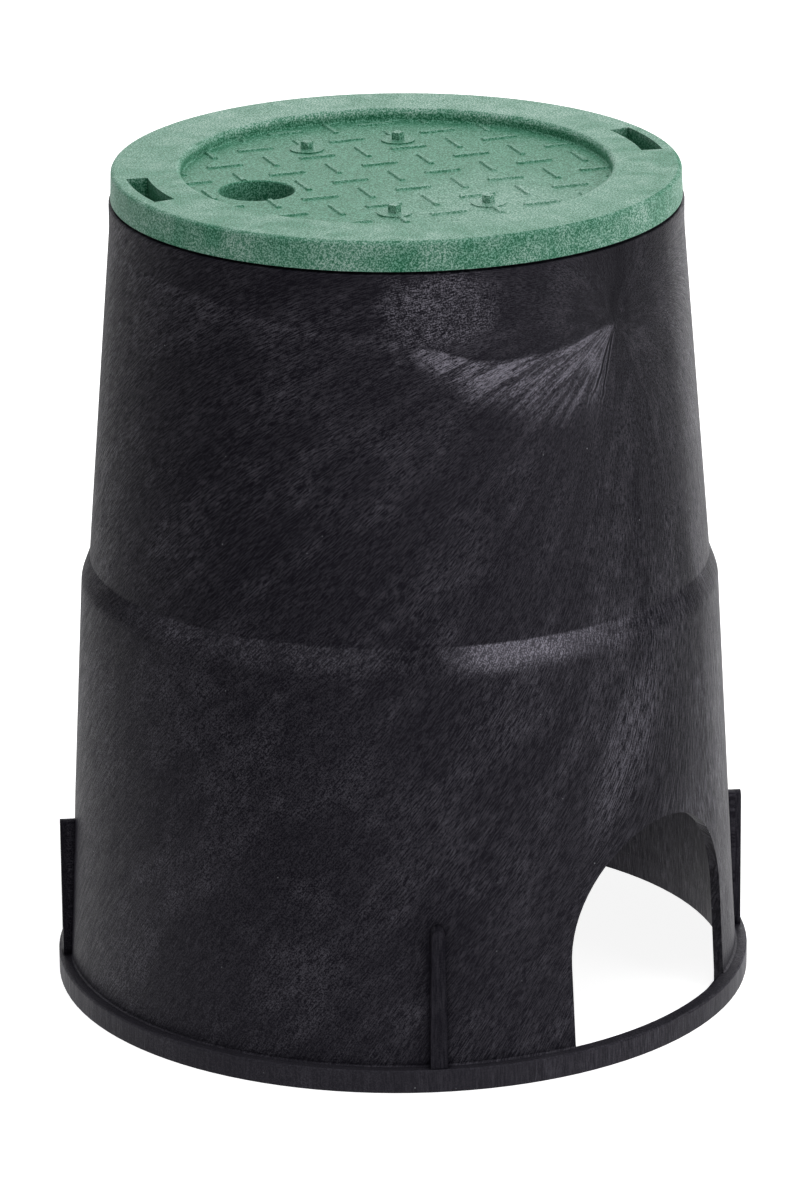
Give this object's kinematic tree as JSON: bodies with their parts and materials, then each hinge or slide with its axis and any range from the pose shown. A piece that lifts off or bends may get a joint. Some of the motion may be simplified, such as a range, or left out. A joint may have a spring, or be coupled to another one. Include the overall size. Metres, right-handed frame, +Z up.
{
  "type": "irrigation valve box",
  "caption": "Round in-ground valve box: a tapered black body with arched pipe openings and a green lift-off lid with a sunk tread.",
  "frame": {"origin": "centre of the body's round foot, on the ground", "axes": "+Z up through the lid; the two pipe openings face +X and -X"},
  "size_m": [0.1948, 0.1948, 0.2326],
  "materials": {
    "black_plastic": "matte",
    "green_plastic": "matte"
  },
  "bodies": {
    "root": {"valve_box_body": "black_plastic", "lid": "green_plastic"}
  },
  "joints": []
}
